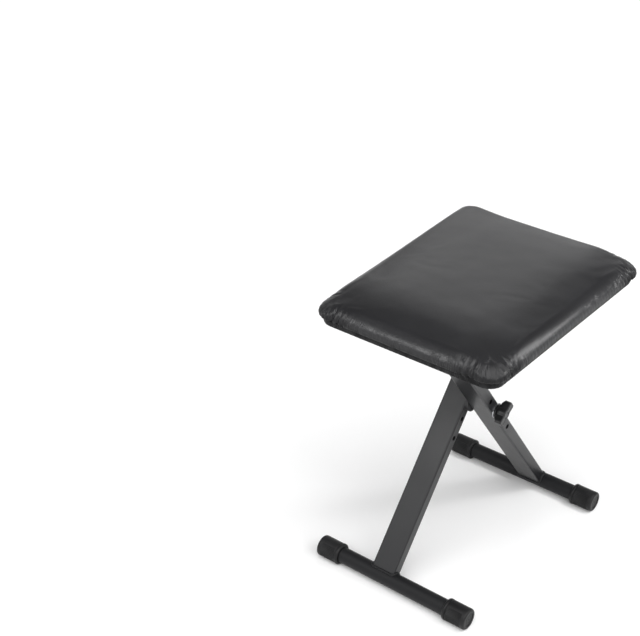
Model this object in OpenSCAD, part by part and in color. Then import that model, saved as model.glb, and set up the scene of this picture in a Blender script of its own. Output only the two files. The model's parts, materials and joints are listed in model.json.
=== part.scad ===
// Folding piano bench on an X-shaped steel frame.
// Millimetres, +Z up. The origin is on the floor under the middle of the seat.
// X runs along the foot tubes and Y along the long side of the seat.
// Frame A rises from the front foot (-Y) to the seat hinge (+Y). Frame B stands beside
// it on the +X side and rises from the rear foot to two rollers that run in the rails.

/* [Stance] */
// Distance between the axes of the two foot tubes
foot_spread = 368; // [300:1:450]
// Height of the leg pivot above the floor
pivot_height = 252; // [220:1:290]
// Height of the underside of the seat above the floor
seat_height = 427; // [380:1:500]
// Distance between the axes of the two foot tubes when the bench is folded
folded_spread = 50; // [42:1:80]

/* [Seat] */
// Length of the seat board, along Y
board_len = 400; // [330:1:480]
// Width of the seat board, along X
board_wid = 290; // [240:1:360]
// Thickness of the seat board
board_t = 12; // [9:0.5:18]
// Corner radius of the seat board
board_corner_r = 22; // [18:1:40]
// How far the padding bulges past the board's edge
pad_bulge = 9; // [8:0.5:14]
// Height of the cushion from its underside to the top of its crown
cushion_h = 47; // [42:1:70]
// Rise of the crown above the shoulders
crown_h = 7; // [2:1:12]
// Radius of the shoulder between the side and the top
shoulder_r = 23; // [14:1:25]
// Width of the crown's slope, from the shoulder to the flat middle
crown_slope = 80; // [50:1:85]
// How far the side pulls in at the bottom edge
tuck = 7; // [2:0.5:7.5]
// Thickness of the leatherette cover, its hem and the dust cover
cover_t = 1; // [0.8:0.1:1.5]
// Width of the hem that is folded under the board
hem_w = 26; // [20:1:35]
// Spacing of the staples along the hem
staple_pitch = 25; // [20:1:50]

/* [Seat rails] */
// Distance from the board's side edge to the inner face of a rail
rail_inset = 69; // [62:1:72]
// Thickness of the rail's steel
rail_t = 2.5; // [2:0.5:4]
// Width of the flange that is screwed under the board
rail_flange = 26; // [24:1:32]
// Distance from the seat's underside down to the hinge axis
hinge_drop = 18; // [16:0.5:24]
// Depth of the rail below the hinge axis
rail_below = 14; // [11:0.5:20]
// Length of the rail past the hinge and past the roller's stop
rail_end = 24; // [18:1:40]
// Inner bend radius of the rail
rail_bend_r = 1.5; // [1:0.5:3]

/* [Legs] */
// Width of the rectangular leg tube, along X
leg_w = 40; // [30:1:50]
// Depth of the rectangular leg tube
leg_h = 20; // [16:1:20]
// Wall of the leg tube
leg_wall = 1.5; // [1:0.1:2.5]
// Outer corner radius of the leg tube
leg_corner_r = 3; // [2.6:0.1:5]
// Gap between the two legs where they cross
leg_gap = 6.4; // [4:0.1:12]
// Spacing of the height holes along a leg
hole_pitch = 32; // [26:1:40]
// Diameter of the cross tube at the top of a leg
top_tube_d = 20; // [20:0.1:22]
// Wall of the cross tube
top_tube_wall = 2; // [1.5:0.1:2.5]

/* [Feet] */
// Diameter of the foot tube
foot_tube_d = 25.4; // [22:0.1:32]
// Wall of the foot tube
foot_tube_wall = 1.5; // [1:0.1:2.5]
// Length of a foot over its two rubber caps
foot_len = 271; // [230:1:330]
// Sideways offset of each foot's middle, towards its own leg
foot_shift = 4.5; // [0:0.5:8]
// Wall of the rubber cap around the foot tube
cap_wall = 4; // [3:0.1:6]
// Length of a rubber cap
cap_len = 39.5; // [30:0.5:50]
// Thickness of the cap's closed end
cap_end_t = 5; // [4:0.5:8]
// Depth of the flat that the cap rests on
cap_flat = 0.8; // [0.5:0.1:1.2]
// Length of the collar at the cap's open end
collar_len = 6; // [4:0.5:10]
// Height of the collar above the cap's barrel
collar_rise = 0.4; // [0.2:0.1:0.8]
// Radius of the cap's rounded rim
rim_r = 3; // [2:0.5:3.5]
// Diameter of the shallow recess in the cap's end
recess_d = 22; // [16:1:24]
// Depth of the recess in the cap's end
recess_depth = 1.2; // [0.6:0.1:2]

/* [Pivot and knob] */
// Diameter of the pivot, hinge and slide bolts
bolt_d = 8; // [8:1:10]
// Diameter of the two discs between the legs
disc_d = 34; // [26:1:36]
// Gap between the two discs
disc_gap = 0.3; // [0.3:0.1:0.6]
// Diameter of the washer under the knob
knob_washer_d = 24; // [20:1:28]
// Diameter of the knob's hub
knob_hub_d = 22; // [20:1:28]
// Length of the knob across its two wings
knob_span = 38; // [32:1:50]
// Thickness of the knob
knob_t = 17; // [14:1:22]
// Width of a wing where it leaves the hub
wing_neck = 11; // [8:1:14]
// Width of a wing at its tip
wing_tip = 14; // [12:1:18]
// Chamfer on the corners of a wing's tip
wing_chamfer = 2.5; // [1:0.5:5]
// Height of the hub below the wings
hub_foot = 3; // [2:0.5:5]

/* [Fasteners] */
// Width of a bolt's head and nut across their flats
nut_af = 13; // [13:1:17]
// Height of a nut
nut_h = 6.5; // [5:0.5:8]
// Height of a bolt's hexagonal head
head_h = 5.3; // [4:0.1:7]
// Diameter of a plain washer
washer_d = 18; // [17:1:22]
// Thickness of a washer
washer_t = 1.6; // [1:0.1:2.5]
// Length of bolt that stands out of its nut
bolt_tail = 3; // [2:0.5:6]
// Diameter of the roller's barrel in the rail's slot
roller_d = 12; // [11:0.5:14]
// Thickness of the flange on a roller or a bush
flange_t = 2; // [1.5:0.1:3]
// Diameter of the rail screws
screw_d = 6; // [5:1:6]
// Diameter of a rail screw's head
screw_head_d = 11; // [9:0.5:12]
// Height of a rail screw's head
screw_head_h = 3.5; // [2.5:0.5:4]
// Diameter of a tee nut's flange
tee_flange_d = 18; // [14:1:20]
// Thickness of a tee nut's flange
tee_flange_t = 1.5; // [1:0.1:2]
// Wall of a tee nut's barrel
tee_wall = 1; // [0.8:0.1:1.5]

/* [Clearances] */
// Radial clearance of a bolt or shaft in its bore
run_clear = 0.05; // [0.02:0.01:0.1]
// Radial clearance of a roller in its slot
slot_clear = 0.15; // [0.1:0.05:0.3]
// Side clearance of a flange or washer beside a rail
side_clear = 0.3; // [0.3:0.1:0.6]
// Clearance between soft pieces and what they wrap
soft_clear = 0.3; // [0.2:0.1:0.5]
// Gap under a weld bead
weld_gap = 0.05; // [0.02:0.01:0.1]
// Size of a weld bead
weld_size = 2.5; // [1.5:0.1:3.5]

/* [Hidden] */
$fn = 64;

// Frame A is on the -X side with its foot at -Y, frame B is its mirror image.
frame_a = -1;
frame_b = 1;
left = -1;
right = 1;

cap_d = foot_tube_d + 2 * (cap_wall + run_clear);
foot_axis_z = cap_d / 2 - cap_flat;
foot_tube_half = foot_len / 2 - cap_end_t;

leg_x = (leg_w + leg_gap) / 2;
leg_outer_x = leg_x + leg_w / 2;
leg_rise = pivot_height - foot_axis_z;
leg_angle = atan2(leg_rise, foot_spread / 2);
leg_lean = 90 - leg_angle;
lower_len = norm([foot_spread / 2, leg_rise]);
hinge_z = seat_height - hinge_drop;
upper_len = (hinge_z - pivot_height) / sin(leg_angle);
hinge_y = upper_len * cos(leg_angle);
folded_angle = acos(folded_spread / 2 / lower_len);
slide_travel = 2 * upper_len * (cos(leg_angle) - cos(folded_angle));

rail_x = board_wid / 2 - rail_inset;
rail_len = 2 * (hinge_y + rail_end);
rail_outer_x = rail_x + rail_t;
top_tube_half = rail_x - side_clear - flange_t;
washer_x = rail_outer_x + side_clear;
screw_x = rail_outer_x + (rail_flange - rail_t) / 2;
screw_edge = 16;
screw_ys = [for (k = [0:3]) (k / 3 - 0.5) * (rail_len - 2 * screw_edge)];

board_z = seat_height + cover_t;
board_top_z = board_z + board_t;
cushion_wid = board_wid + 2 * pad_bulge;
cushion_len = board_len + 2 * pad_bulge;
cushion_corner_r = board_corner_r + pad_bulge;
// The height holes, counted up the leg from the one at the pivot
height_holes = [-2:1];
cushion_top_z = seat_height + cushion_h;
shoulder_z = cushion_top_z - crown_h - shoulder_r;
slab_t = 0.1;

bore_d = bolt_d + 2 * run_clear;
disc_t = (leg_gap - disc_gap) / 2;
knob_x = leg_outer_x + washer_t;
tee_barrel_d = screw_d + 2 * tee_wall;
bolt_flange_d = bolt_d + 6;
bolt_flange_t = 5;

// ---- Shared shapes ----

module round_rect(wid, len, r) {
    square([wid - 2 * r, len], center = true);
    square([wid, len - 2 * r], center = true);
    for (sx = [-1, 1], sy = [-1, 1])
        translate([sx * (wid / 2 - r), sy * (len / 2 - r)]) circle(r = r);
}

// A round bar along X, from x0 to x1
module x_rod(d, x0, x1) {
    translate([x0, 0, 0]) rotate([0, 90, 0]) cylinder(d = d, h = x1 - x0);
}

// A tube, bush or washer along X
module x_ring(d, bore, x0, x1) {
    difference() {
        x_rod(d, x0, x1);
        x_rod(bore, x0 - 1, x1 + 1);
    }
}

module x_hex(x0, x1) {
    translate([x0, 0, 0]) rotate([0, 90, 0])
        cylinder(d = nut_af / cos(30), h = x1 - x0, $fn = 6);
}

module x_nut(x0, x1) {
    difference() {
        x_hex(x0, x1);
        x_rod(bore_d, x0 - 1, x1 + 1);
    }
}

// Places along the frame
module at_foot(frame) {
    translate([frame * foot_shift, frame * foot_spread / 2, foot_axis_z]) children();
}

module at_pivot() {
    translate([0, 0, pivot_height]) children();
}

module at_hinge() {
    translate([0, hinge_y, hinge_z]) children();
}

module at_slide() {
    translate([0, -hinge_y, hinge_z]) children();
}

// The leg's own frame: its origin is on the pivot, +Z points up along the leg
module on_leg(frame) {
    translate([frame * leg_x, 0, pivot_height]) rotate([frame * leg_lean, 0, 0]) children();
}

// ---- Seat ----

// One level of the cushion, pulled in all round by shrink
module cushion_slab(shrink, z) {
    translate([0, 0, z]) linear_extrude(slab_t)
        round_rect(cushion_wid - 2 * shrink, cushion_len - 2 * shrink,
                   max(cushion_corner_r - shrink, 2));
}

// The crowned cushion, or its inside at a depth of skin below the surface
module cushion_form(skin) {
    hull() {
        cushion_slab(skin + tuck, seat_height + skin, $fn = 32);
        for (a = [0:22.5:90])
            cushion_slab(skin + shoulder_r * (1 - cos(a)),
                         shoulder_z + shoulder_r * sin(a) - skin - slab_t, $fn = 32);
        cushion_slab(skin + shoulder_r + 0.5 * crown_slope,
                     cushion_top_z - crown_h / 4 - skin - slab_t, $fn = 32);
        cushion_slab(skin + shoulder_r + crown_slope, cushion_top_z - skin - slab_t, $fn = 32);
    }
}

module hem_opening(gap) {
    round_rect(board_wid - 2 * (hem_w + gap), board_len - 2 * (hem_w + gap),
               board_corner_r - hem_w / 2);
}

module seat_cover() {
    color("#1b1b1d") difference() {
        cushion_form(0);
        cushion_form(cover_t);
        translate([0, 0, seat_height - 1]) linear_extrude(cover_t + 2) hem_opening(0);
    }
}

module seat_foam() {
    color("#e8d9a8") difference() {
        cushion_form(cover_t + soft_clear);
        translate([0, 0, seat_height]) linear_extrude(board_top_z - seat_height)
            round_rect(board_wid + 2 * soft_clear, board_len + 2 * soft_clear,
                       board_corner_r + soft_clear);
    }
}

module at_rail_screws(z) {
    for (side = [left, right], y = screw_ys) translate([side * screw_x, y, z]) children();
}

module seat_board() {
    color("#b58d5a") difference() {
        translate([0, 0, board_z]) linear_extrude(board_t)
            round_rect(board_wid, board_len, board_corner_r);
        at_rail_screws(board_z - 1) cylinder(d = tee_barrel_d + 2 * run_clear, h = board_t + 2);
        at_rail_screws(board_top_z - tee_flange_t)
            cylinder(d = tee_flange_d + 2 * soft_clear, h = tee_flange_t + 1);
    }
}

module dust_cover() {
    color("#26262a") difference() {
        translate([0, 0, seat_height]) linear_extrude(cover_t) hem_opening(soft_clear);
        at_rail_screws(seat_height - 1)
            cylinder(d = tee_barrel_d + 2 * run_clear, h = cover_t + 2);
    }
}

// A staple lies across the hem's edge, with its two legs in the board
module staple() {
    crown_len = 10;
    wire = 0.7;
    leg_depth = 5;
    translate([-crown_len / 2, -wire / 2, seat_height - wire]) cube([crown_len, wire, wire]);
    for (end = [-1, 1])
        translate([end * (crown_len - wire) / 2 - wire / 2, -wire / 2, seat_height])
            cube([wire, wire, cover_t + leg_depth]);
}

module staples() {
    row_x = board_wid / 2 - hem_w / 2;
    row_y = board_len / 2 - hem_w / 2;
    count_y = floor((board_len / 2 - board_corner_r) / staple_pitch);
    count_x = floor((board_wid / 2 - board_corner_r) / staple_pitch);
    color("#c8c8c8") {
        for (side = [-1, 1], k = [-count_y:count_y])
            translate([side * row_x, k * staple_pitch, 0]) rotate([0, 0, 90]) staple();
        for (side = [-1, 1], k = [-count_x:count_x])
            translate([k * staple_pitch, side * row_y, 0]) staple();
    }
}

// ---- Rails under the seat ----

// The rail's bent section, with its web at x = rail_x and its flange outwards
module rail_section() {
    bend = rail_bend_r + rail_t;
    web_h = hinge_drop + rail_below;
    translate([rail_x, -web_h]) square([rail_t, web_h - bend]);
    translate([rail_x + bend, -rail_t]) square([rail_flange - bend, rail_t]);
    translate([rail_x + bend, -bend]) intersection() {
        difference() {
            circle(r = bend);
            circle(r = rail_bend_r);
        }
        translate([-bend, 0]) square(bend);
    }
}

module rail(side) {
    slot_d = roller_d + 2 * slot_clear;
    web_h = hinge_drop + rail_below;
    corner = 8;
    mirror([side < 0 ? 1 : 0, 0, 0]) difference() {
        intersection() {
            translate([0, rail_len / 2, seat_height]) rotate([90, 0, 0])
                linear_extrude(rail_len) rail_section();
            translate([rail_x - 1, 0, seat_height - web_h / 2]) rotate([90, 0, 90])
                linear_extrude(rail_flange + 2) union() {
                    round_rect(rail_len, web_h, corner);
                    translate([-rail_len / 2, 0]) square([rail_len, web_h / 2]);
                }
        }
        at_hinge() x_rod(bore_d, rail_x - 1, rail_outer_x + 1);
        translate([rail_x - 1, -hinge_y, hinge_z]) rotate([90, 0, 90])
            linear_extrude(rail_t + 2) union() {
                circle(d = slot_d);
                translate([slide_travel, 0]) circle(d = slot_d);
                translate([0, -slot_d / 2]) square([slide_travel, slot_d]);
            }
        for (y = screw_ys) translate([screw_x, y, seat_height - rail_t - 1])
            cylinder(d = screw_d + 2 * run_clear, h = rail_t + 2);
    }
}

module left_rail() {
    color("#2f3032") rail(left);
}

module right_rail() {
    color("#2f3032") rail(right);
}

module rail_screws() {
    shank = rail_t + cover_t + board_t - tee_flange_t;
    color("#b9bcc0") at_rail_screws(seat_height - rail_t) {
        cylinder(d = screw_d, h = shank);
        difference() {
            translate([0, 0, -screw_head_h]) cylinder(d = screw_head_d, h = screw_head_h);
            translate([0, 0, -screw_head_h - 1])
                cylinder(d = screw_d / 2, h = screw_head_h / 2 + 1, $fn = 6);
        }
    }
}

module tee_nuts() {
    color("#b9bcc0") at_rail_screws(board_z) difference() {
        union() {
            cylinder(d = tee_barrel_d, h = board_t - tee_flange_t);
            translate([0, 0, board_t - tee_flange_t])
                cylinder(d = tee_flange_d, h = tee_flange_t);
        }
        translate([0, 0, -1]) cylinder(d = screw_d + 2 * run_clear, h = board_t + 2);
    }
}

// A bolt along X with its head on the left, its washers and its nut
module long_bolt(grip) {
    x_rod(bolt_d, -grip, grip + nut_h + bolt_tail);
    x_hex(-grip - head_h, -grip);
}

module bolt_washers(face) {
    for (side = [left, right])
        x_ring(washer_d, bore_d, side * (face + washer_t / 2) - washer_t / 2,
               side * (face + washer_t / 2) + washer_t / 2);
}

module hinge_bolt() {
    color("#b9bcc0") at_hinge() long_bolt(rail_outer_x + washer_t);
}

module hinge_washers() {
    color("#b9bcc0") at_hinge() bolt_washers(rail_outer_x);
}

module hinge_nut() {
    nut_x = rail_outer_x + washer_t;
    color("#b9bcc0") at_hinge() x_nut(nut_x, nut_x + nut_h);
}

// ---- Legs ----

module leg_section(grow) {
    round_rect(leg_w + 2 * grow, leg_h + 2 * grow, leg_corner_r + grow);
}

module leg_tube(frame) {
    on_leg(frame) difference() {
        translate([0, 0, -lower_len]) linear_extrude(lower_len + upper_len) difference() {
            leg_section(0);
            leg_section(-leg_wall);
        }
        translate([0, 0, -lower_len]) x_rod(foot_tube_d + 2 * weld_gap, -leg_w, leg_w);
        translate([0, 0, upper_len]) x_rod(top_tube_d + 2 * weld_gap, -leg_w, leg_w);
        for (k = height_holes)
            translate([0, 0, k * hole_pitch]) x_rod(bore_d, -leg_w, leg_w);
    }
}

// The bead around a leg's end, where it is welded to a round tube
module weld_collar(tube_d) {
    half = leg_w / 2 + weld_size;
    difference() {
        intersection() {
            linear_extrude(tube_d) leg_section(weld_size);
            x_rod(tube_d + 2 * weld_size, -half, half);
        }
        translate([0, 0, -1]) linear_extrude(tube_d + 2) leg_section(0);
        x_rod(tube_d + 2 * weld_gap, -half - 1, half + 1);
    }
}

module leg_welds(frame) {
    on_leg(frame) {
        translate([0, 0, -lower_len]) weld_collar(foot_tube_d);
        translate([0, 0, upper_len]) mirror([0, 0, 1]) weld_collar(top_tube_d);
    }
}

module top_tube() {
    x_ring(top_tube_d, top_tube_d - 2 * top_tube_wall, -top_tube_half, top_tube_half);
}

module leg_a_tube() {
    color("#2b2c2f") leg_tube(frame_a);
}

module leg_b_tube() {
    color("#2b2c2f") leg_tube(frame_b);
}

module leg_a_top_tube() {
    color("#2b2c2f") at_hinge() top_tube();
}

module leg_b_top_tube() {
    color("#2b2c2f") at_slide() top_tube();
}

module leg_a_welds() {
    color("#242528") leg_welds(frame_a);
}

module leg_b_welds() {
    color("#242528") leg_welds(frame_b);
}

// ---- Hinge bushes and slide rollers ----

// A flanged bush in each end of a cross tube; its outer barrel is as long as nose
module end_bushes(nose) {
    plug_len = 14;
    tube_bore = top_tube_d - 2 * top_tube_wall - 2 * run_clear;
    flange_x = top_tube_half + flange_t;
    for (side = [0, 1]) mirror([side, 0, 0]) difference() {
        union() {
            x_rod(tube_bore, top_tube_half - plug_len, top_tube_half);
            x_rod(top_tube_d, top_tube_half, flange_x);
            x_rod(roller_d, flange_x, flange_x + nose);
        }
        x_rod(bore_d, top_tube_half - plug_len - 1, flange_x + nose + 1);
    }
}

module hinge_bushes() {
    color("#e6e4dc") at_hinge() end_bushes(side_clear / 3);
}

module slide_rollers() {
    color("#e6e4dc") at_slide() end_bushes(rail_t + 2 * side_clear);
}

module slide_bolt() {
    color("#b9bcc0") at_slide() long_bolt(washer_x + washer_t);
}

module slide_washers() {
    color("#b9bcc0") at_slide() bolt_washers(washer_x);
}

module slide_nut() {
    nut_x = washer_x + washer_t;
    color("#b9bcc0") at_slide() x_nut(nut_x, nut_x + nut_h);
}

// ---- Feet ----

module foot_tube(frame) {
    at_foot(frame)
        x_ring(foot_tube_d, foot_tube_d - 2 * foot_tube_wall, -foot_tube_half, foot_tube_half);
}

// A rubber cap along +Z: its open end at z = 0, its closed end at z = cap_len
module cap_barrel() {
    difference() {
        union() {
            cylinder(d = cap_d, h = cap_len - rim_r);
            cylinder(d = cap_d + 2 * collar_rise, h = collar_len);
            cylinder(d = cap_d - 2 * rim_r, h = cap_len);
            translate([0, 0, cap_len - rim_r]) rotate_extrude()
                translate([cap_d / 2 - rim_r, 0]) circle(r = rim_r);
        }
        translate([0, 0, -1])
            cylinder(d = foot_tube_d + 2 * run_clear, h = cap_len - cap_end_t + 1);
        translate([0, 0, cap_len - recess_depth]) cylinder(d = recess_d, h = recess_depth + 1);
    }
}

module foot_cap(frame, side) {
    at_foot(frame) difference() {
        translate([side * (foot_len / 2 - cap_len), 0, 0]) rotate([0, side * 90, 0])
            cap_barrel();
        translate([0, 0, -foot_axis_z - cap_d / 2]) cube([foot_len + 2, cap_d, cap_d],
                                                         center = true);
    }
}

module front_foot_tube() {
    color("#2b2c2f") foot_tube(frame_a);
}

module rear_foot_tube() {
    color("#2b2c2f") foot_tube(frame_b);
}

module front_left_cap() {
    color("#151515") foot_cap(frame_a, left);
}

module front_right_cap() {
    color("#151515") foot_cap(frame_a, right);
}

module rear_left_cap() {
    color("#151515") foot_cap(frame_b, left);
}

module rear_right_cap() {
    color("#151515") foot_cap(frame_b, right);
}

// ---- Pivot ----

module leg_a_disc() {
    color("#1d1d1f") at_pivot() x_ring(disc_d, bore_d, -leg_gap / 2, -leg_gap / 2 + disc_t);
}

module leg_b_disc() {
    color("#1d1d1f") at_pivot() x_ring(disc_d, bore_d, leg_gap / 2 - disc_t, leg_gap / 2);
}

// A nut is welded inside leg A over each height hole, on its outer wall
module weld_nuts() {
    nut_x = -leg_w / 2 + leg_wall;
    color("#2b2c2f") on_leg(frame_a) for (k = height_holes)
        translate([0, 0, k * hole_pitch]) x_nut(nut_x, nut_x + nut_h);
}

// Both wings in outline, with their length along X
module wing_outline() {
    reach = knob_span / 2;
    shoulder = reach - wing_chamfer;
    half_neck = wing_neck / 2;
    half_wing = wing_tip / 2;
    half_tip = half_wing - wing_chamfer;
    polygon([[0, half_neck], [shoulder, half_wing], [reach, half_tip],
             [reach, -half_tip], [shoulder, -half_wing], [0, -half_neck],
             [-shoulder, -half_wing], [-reach, -half_tip],
             [-reach, half_tip], [-shoulder, half_wing]]);
}

// The knob's wings stand square to leg B
module knob_grip() {
    pocket_d = bolt_flange_d + 2 * run_clear;
    color("#18181a") at_pivot() difference() {
        union() {
            x_rod(knob_hub_d, knob_x, knob_x + knob_t);
            translate([knob_x + hub_foot, 0, 0]) rotate([90 - leg_angle, 0, 0])
                rotate([90, 0, 90]) linear_extrude(knob_t - hub_foot) wing_outline();
        }
        x_rod(bore_d, knob_x - 1, knob_x + hub_foot + 1);
        x_rod(pocket_d, knob_x + hub_foot, knob_x + hub_foot + bolt_flange_t + run_clear);
    }
}

module knob_bolt() {
    color("#b9bcc0") at_pivot() {
        x_rod(bolt_d, -leg_outer_x, knob_x + hub_foot);
        x_rod(bolt_flange_d, knob_x + hub_foot, knob_x + hub_foot + bolt_flange_t);
    }
}

module knob_washer() {
    color("#b9bcc0") at_pivot() x_ring(knob_washer_d, bore_d, leg_outer_x, knob_x);
}

seat_cover();
seat_foam();
seat_board();
dust_cover();
staples();
left_rail();
right_rail();
rail_screws();
tee_nuts();
hinge_bolt();
hinge_washers();
hinge_nut();
leg_a_tube();
leg_a_top_tube();
hinge_bushes();
front_foot_tube();
front_left_cap();
front_right_cap();
leg_a_welds();
leg_a_disc();
weld_nuts();
leg_b_tube();
leg_b_top_tube();
slide_rollers();
slide_bolt();
slide_washers();
slide_nut();
rear_foot_tube();
rear_left_cap();
rear_right_cap();
leg_b_welds();
leg_b_disc();
knob_grip();
knob_bolt();
knob_washer();
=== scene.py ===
"""Folding piano bench: a padded leatherette seat on an X-shaped steel frame.

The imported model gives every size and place. This script dresses its nodes, replaces
the soft seat and the moulded, welded and threaded pieces with detailed meshes, and
sets up the camera, the floor and the lights. Lengths are in metres.
"""

from __future__ import annotations

import json
import logging
import math
from collections.abc import Callable, Sequence
from dataclasses import dataclass, field
from enum import Enum

import bmesh
import bpy
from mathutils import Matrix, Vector, noise


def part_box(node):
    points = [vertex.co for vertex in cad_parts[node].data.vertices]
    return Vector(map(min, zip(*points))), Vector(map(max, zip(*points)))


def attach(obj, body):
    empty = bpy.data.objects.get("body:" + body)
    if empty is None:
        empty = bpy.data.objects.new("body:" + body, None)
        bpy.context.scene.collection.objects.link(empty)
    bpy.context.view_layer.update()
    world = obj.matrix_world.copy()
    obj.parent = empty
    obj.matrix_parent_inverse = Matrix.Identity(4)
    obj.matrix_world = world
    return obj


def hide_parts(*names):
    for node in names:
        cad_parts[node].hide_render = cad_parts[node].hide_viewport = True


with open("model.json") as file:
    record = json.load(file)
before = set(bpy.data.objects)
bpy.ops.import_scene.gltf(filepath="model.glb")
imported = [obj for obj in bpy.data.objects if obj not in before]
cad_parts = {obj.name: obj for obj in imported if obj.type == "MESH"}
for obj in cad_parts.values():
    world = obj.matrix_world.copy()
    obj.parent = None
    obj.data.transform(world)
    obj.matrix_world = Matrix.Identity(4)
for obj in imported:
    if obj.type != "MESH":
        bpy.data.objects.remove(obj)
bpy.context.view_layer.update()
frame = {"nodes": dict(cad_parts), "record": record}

MM = 0.001
TINY = 1e-6
LOG = logging.getLogger("bench")

Colour = tuple[float, float, float]


# ---------------------------------------------------------------- shader arithmetic


class Val:
    """A shader value that takes part in Python arithmetic."""

    def __init__(self, shader: Shader, socket: bpy.types.NodeSocket) -> None:
        """Keeps the shader that owns the socket, and the socket itself."""
        self.shader = shader
        self.socket = socket

    def _math(self, operation: str, first: object, second: object) -> Val:
        """Adds one Math node.

        Args:
            operation: The Math node's operation.
            first: Its first value or Val.
            second: Its second value or Val.

        Returns:
            The node's result.
        """
        return self.shader.node("ShaderNodeMath", {"operation": operation}, {0: first, 1: second})

    def __add__(self, other: object) -> Val:
        """Returns self + other."""
        return self._math("ADD", self, other)

    def __sub__(self, other: object) -> Val:
        """Returns self - other."""
        return self._math("SUBTRACT", self, other)

    def __rsub__(self, other: object) -> Val:
        """Returns other - self."""
        return self._math("SUBTRACT", other, self)

    def __mul__(self, other: object) -> Val:
        """Returns self * other."""
        return self._math("MULTIPLY", self, other)

    __radd__ = __add__
    __rmul__ = __mul__


def fill_ramp(ramp: bpy.types.ColorRamp, stops: Sequence[tuple[float, float]]) -> None:
    """Gives a colour ramp grey stops.

    Args:
        ramp: The ramp to fill.
        stops: (position, grey) pairs in rising order.
    """
    while len(ramp.elements) < len(stops):
        ramp.elements.new(1.0)
    for element, (position, grey) in zip(ramp.elements, stops):
        element.position = position
        element.color = (grey, grey, grey, 1.0)


class Shader:
    """One material's node tree, with a Principled surface at its end."""

    def __init__(self, name: str) -> None:
        """Makes an empty material called name."""
        self.material = bpy.data.materials.new(name)
        self.material.use_nodes = True
        self.tree = self.material.node_tree
        self.tree.nodes.clear()
        self.place = self.node("ShaderNodeTexCoord", out="Object")

    def node(
        self,
        kind: str,
        settings: dict[str, object] | None = None,
        inputs: dict[str | int, object] | None = None,
        out: str | int | None = 0,
    ) -> Val | None:
        """Adds a node of any type.

        Args:
            kind: The node's type, such as ShaderNodeTexNoise.
            settings: The node's own settings; "stops" fills a ramp with (position, grey).
            inputs: A number, a colour or a Val for each named or numbered socket.
            out: The output that is wanted, or None for a node without outputs.

        Returns:
            That output as a Val, or None.
        """
        made = self.tree.nodes.new(kind)
        for key, value in (settings or {}).items():
            if key == "stops":
                fill_ramp(made.color_ramp, value)
            else:
                setattr(made, key, value)
        for key, value in (inputs or {}).items():
            if isinstance(value, Val):
                self.tree.links.new(value.socket, made.inputs[key])
            else:
                made.inputs[key].default_value = value
        return None if out is None else Val(self, made.outputs[out])

    def noise(self, scale: float, detail: float = 3.0, roughness: float = 0.5) -> Val:
        """Returns a noise value in object space.

        Args:
            scale: Features per metre.
            detail: Octaves of detail.
            roughness: How strong the small octaves are.
        """
        return self.node(
            "ShaderNodeTexNoise",
            inputs={"Vector": self.place, "Scale": scale, "Detail": detail, "Roughness": roughness},
        )

    def cells(self, scale: float, feature: str = "F1", randomness: float = 1.0) -> Val:
        """Returns a Voronoi distance in object space.

        Args:
            scale: Cells per metre.
            feature: The Voronoi feature.
            randomness: How far the cells stray from a grid.
        """
        return self.node(
            "ShaderNodeTexVoronoi",
            {"feature": feature},
            {"Vector": self.place, "Scale": scale, "Randomness": randomness},
            out="Distance",
        )

    def ramp(self, value: Val, *stops: tuple[float, float]) -> Val:
        """Returns value reshaped by grey stops.

        Args:
            value: What drives the ramp.
            stops: (position, grey) pairs.
        """
        return self.node("ShaderNodeValToRGB", {"stops": stops}, {"Fac": value})

    def attribute(self, name: str) -> Val:
        """Returns a vertex value that is stored on the mesh under name."""
        return self.node("ShaderNodeAttribute", {"attribute_name": name}, out="Fac")

    def mix(self, factor: Val | float, first: Colour | Val, second: Colour | Val) -> Val:
        """Returns a blend of two colours.

        Args:
            factor: 0 for first, 1 for second.
            first: The first colour.
            second: The second colour.
        """
        ends = {
            key: value if isinstance(value, Val) else (*value, 1.0)
            for key, value in ((6, first), (7, second))
        }
        return self.node(
            "ShaderNodeMix", {"data_type": "RGBA"}, {0: factor, **ends}, out=2
        )

    def bump(
        self, height: Val, distance: float, strength: float, under: Val | None = None
    ) -> Val:
        """Returns a normal that is bent by height.

        Args:
            height: The relief, 0 to 1.
            distance: The relief's depth in metres.
            strength: How much of the relief shows.
            under: A normal that is bent already.
        """
        inputs = {"Height": height, "Distance": distance, "Strength": strength}
        if under is not None:
            inputs["Normal"] = under
        return self.node("ShaderNodeBump", inputs=inputs)

    def principled(self, **sockets: object) -> Val:
        """Returns a Principled shader.

        Args:
            sockets: Values or Vals by socket name, with _ for a space.
        """
        inputs = {}
        for name, value in sockets.items():
            plain_colour = isinstance(value, tuple) and len(value) == 3
            inputs[name.replace("_", " ")] = (*value, 1.0) if plain_colour else value
        return self.node("ShaderNodeBsdfPrincipled", inputs=inputs)

    def finished(self, shader: Val) -> bpy.types.Material:
        """Returns the material, once it ends in the shader."""
        self.node("ShaderNodeOutputMaterial", inputs={"Surface": shader}, out=None)
        return self.material

    def surface(self, **sockets: object) -> bpy.types.Material:
        """Returns the material, once it ends in one Principled shader.

        Args:
            sockets: Values or Vals by socket name, with _ for a space.
        """
        return self.finished(self.principled(**sockets))


# ---------------------------------------------------------------- finishes


@dataclass(frozen=True)
class Finish:
    """A finish: its material's name and its base colour."""

    name: str
    colour: Colour

    def material(self) -> bpy.types.Material:
        """Returns this finish's material."""
        raise NotImplementedError


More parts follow.
